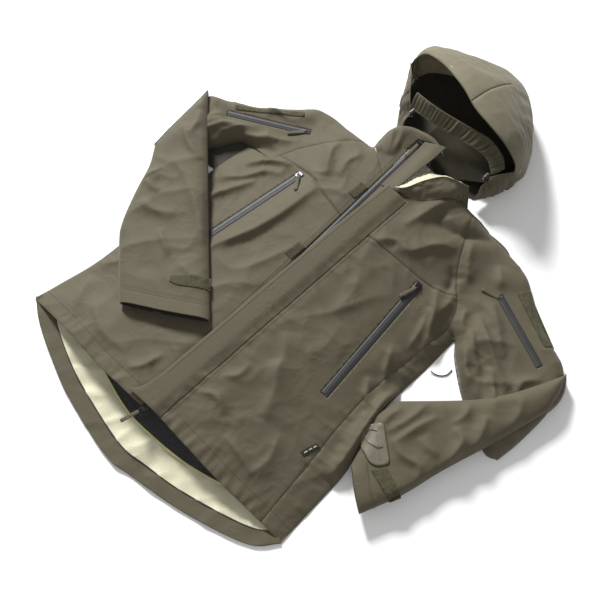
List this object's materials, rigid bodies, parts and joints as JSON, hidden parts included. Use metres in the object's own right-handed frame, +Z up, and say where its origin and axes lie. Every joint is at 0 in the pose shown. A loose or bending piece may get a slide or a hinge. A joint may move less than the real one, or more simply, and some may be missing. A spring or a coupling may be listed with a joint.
{
  "type": "hardshell jacket",
  "caption": "Hooded hardshell jacket laid flat on its back, sleeves folded in, with a storm flap over its front zip, slanted chest pocket zips and a standing hood.",
  "frame": {"origin": "on the back panel's underside, where the jacket rests, on its centre line at mid length", "axes": "+Y from the hem to the hood, +X to the wearer's left, +Z up from the surface it lies on"},
  "size_m": [0.847, 1.0062, 0.149],
  "materials": {
    "shell": "fine ripstop hardshell face, ranger green, matt with a faint sheen",
    "lining": "pale beige-green laminate backer, satin",
    "mesh": "dark grey knitted mesh",
    "brushed": "short-pile brushed knit, dark olive",
    "zip_tape": "laminated water-resistant zip tape, dark grey, slightly glossy",
    "slider_metal": "black painted die-cast",
    "pull_cord": "tight braid with a moulded end",
    "hook_loop": "hook-and-loop pile, dark olive",
    "label": "woven satin, black",
    "cuff_rubber": "moulded tab on shell fabric",
    "black_plastic": "fine-grained acetal",
    "cord": "braided elastic cord"
  },
  "bodies": {
    "torso": {"back_panel": "shell", "front_left": "shell", "front_right": "shell", "yoke_left": "shell", "yoke_right": "shell", "shoulder_left": "shell", "shoulder_right": "shell", "side_panel_left": "shell", "side_panel_right": "shell", "collar_right": "shell", "collar_left": "shell", "inner_flap": "shell", "shoulder_seams": "shell", "sleeve_right_upper": "shell", "back_lining": "lining", "hem_facing": "lining", "mesh_liner": "mesh", "pocket_bag_left": "mesh", "pocket_bag_right": "mesh", "main_zip_tapes": "zip_tape", "pocket_zip_left": "zip_tape", "pocket_zip_right": "zip_tape", "sleeve_zip_right": "zip_tape", "hook_patches": "hook_loop", "sleeve_patch_right": "hook_loop", "woven_label": "label", "hem_drawcord": "cord"},
    "storm_flap": {"storm_flap": "shell"},
    "left_upper_sleeve": {"sleeve_left_upper": "shell", "sleeve_zip_left": "zip_tape", "sleeve_patch_left": "hook_loop"},
    "left_forearm": {"sleeve_left_forearm": "shell", "cuff_strip_left": "hook_loop"},
    "right_forearm": {"sleeve_right_forearm": "shell", "cuff_strip_right": "hook_loop"},
    "left_cuff_tab": {"cuff_tab_left": "cuff_rubber"},
    "hood": {"hood_back": "shell", "hood_centre_panel": "shell", "hood_left_panel": "shell", "hood_right_panel": "shell", "hood_peak": "shell", "hood_cheeks": "shell", "hood_band": "shell", "neck_patch": "brushed", "hood_cord_locks": "black_plastic"},
    "lock_button_left": {"lock_button_left": "black_plastic"},
    "lock_button_right": {"lock_button_right": "black_plastic"},
    "slider_main_top": {"slider_main_top": "slider_metal"},
    "pull_main_top": {"pull_main_top": "pull_cord"},
    "slider_main_bottom": {"slider_main_bottom": "slider_metal"},
    "pull_main_bottom": {"pull_main_bottom": "pull_cord"},
    "slider_pocket_left": {"slider_pocket_left": "slider_metal"},
    "pull_pocket_left": {"pull_pocket_left": "pull_cord"},
    "slider_pocket_right": {"slider_pocket_right": "slider_metal"},
    "pull_pocket_right": {"pull_pocket_right": "pull_cord"},
    "slider_sleeve_left": {"slider_sleeve_left": "slider_metal"},
    "pull_sleeve_left": {"pull_sleeve_left": "pull_cord"},
    "slider_sleeve_right": {"slider_sleeve_right": "slider_metal"},
    "pull_sleeve_right": {"pull_sleeve_right": "pull_cord"}
  },
  "joints": [
    {"name": "storm_flap_lift", "type": "hinge", "parent": "torso", "child": "storm_flap", "pos_m": [0.027, 0, 0.0548], "axis": [0, 0.9996, 0.03], "range_deg": [0, 130]},
    {"name": "hood_lift", "type": "hinge", "parent": "torso", "child": "hood", "pos_m": [0, 0.352, 0.02], "axis": [1, 0, 0], "range_deg": [0, 50]},
    {"name": "left_shoulder_lift", "type": "hinge", "parent": "torso", "child": "left_upper_sleeve", "pos_m": [0.219, 0.24, 0.017], "axis": [0, -1, 0], "range_deg": [0, 60]},
    {"name": "left_elbow_unfold", "type": "hinge", "parent": "left_upper_sleeve", "child": "left_forearm", "pos_m": [0.446, 0.165, 0.017], "axis": [-0.2951, 0.9555, 0], "range_deg": [0, 150]},
    {"name": "right_elbow_unfold", "type": "hinge", "parent": "torso", "child": "right_forearm", "pos_m": [-0.4, 0.165, 0.018], "axis": [0.147, -0.9891, 0], "range_deg": [0, 150]},
    {"name": "left_cuff_tab_lift", "type": "hinge", "parent": "left_forearm", "child": "left_cuff_tab", "pos_m": [0.3225, -0.1025, 0.0394], "axis": [0.7071, 0.7071, 0], "range_deg": [0, 90]},
    {"name": "slider_main_top_slide", "type": "slide", "parent": "torso", "child": "slider_main_top", "axis": [0.0548, -0.9981, -0.0276], "range_m": [0, 0.33]},
    {"name": "slider_main_bottom_slide", "type": "slide", "parent": "torso", "child": "slider_main_bottom", "axis": [-0.0548, 0.9981, 0.0276], "range_m": [0, 0.28]},
    {"name": "slider_pocket_left_slide", "type": "slide", "parent": "torso", "child": "slider_pocket_left", "axis": [0.1189, -0.9923, -0.0335], "range_m": [0, 0.235]},
    {"name": "slider_pocket_right_slide", "type": "slide", "parent": "torso", "child": "slider_pocket_right", "axis": [-0.1189, -0.9923, -0.0335], "range_m": [0, 0.155]},
    {"name": "slider_sleeve_left_slide", "type": "slide", "parent": "left_upper_sleeve", "child": "slider_sleeve_left", "axis": [0.9455, -0.3255, 0], "range_m": [0, 0.12]},
    {"name": "slider_sleeve_right_slide", "type": "slide", "parent": "torso", "child": "slider_sleeve_right", "axis": [-0.855, -0.5184, -0.0162], "range_m": [0, 0.14]},
    {"name": "pull_main_top_flip", "type": "hinge", "parent": "slider_main_top", "child": "pull_main_top", "pos_m": [-0.03955, 0.3529, 0.06345], "axis": [-0.9985, -0.0548, 0], "range_deg": [0, 120]},
    {"name": "pull_main_bottom_flip", "type": "hinge", "parent": "slider_main_bottom", "child": "pull_main_bottom", "pos_m": [-0.00243, -0.32313, 0.04478], "axis": [-0.9985, -0.0548, 0], "range_deg": [0, 120]},
    {"name": "pull_pocket_left_flip", "type": "hinge", "parent": "slider_pocket_left", "child": "pull_pocket_left", "pos_m": [0.14892, 0.16098, 0.04174], "axis": [-0.9671, -0.1234, 0.2224], "range_deg": [0, 120]},
    {"name": "pull_pocket_right_flip", "type": "hinge", "parent": "slider_pocket_right", "child": "pull_pocket_right", "pos_m": [-0.14892, 0.16098, 0.04174], "axis": [-0.9671, 0.1234, -0.2224], "range_deg": [0, 120]},
    {"name": "pull_sleeve_left_flip", "type": "hinge", "parent": "slider_sleeve_left", "child": "pull_sleeve_left", "pos_m": [0.258, 0.256, 0.0195], "axis": [0.3255, 0.9455, 0], "range_deg": [0, 120]},
    {"name": "pull_sleeve_right_flip", "type": "hinge", "parent": "slider_sleeve_right", "child": "pull_sleeve_right", "pos_m": [-0.21106, 0.24097, 0.0225], "axis": [-0.5185, 0.8551, 0], "range_deg": [0, 120]},
    {"name": "lock_button_left_press", "type": "slide", "parent": "hood", "child": "lock_button_left", "axis": [0, 1, 0], "range_m": [0, 0.0035], "stiffness_N_per_m": 150},
    {"name": "lock_button_right_press", "type": "slide", "parent": "hood", "child": "lock_button_right", "axis": [0, 1, 0], "range_m": [0, 0.0035], "stiffness_N_per_m": 150}
  ]
}
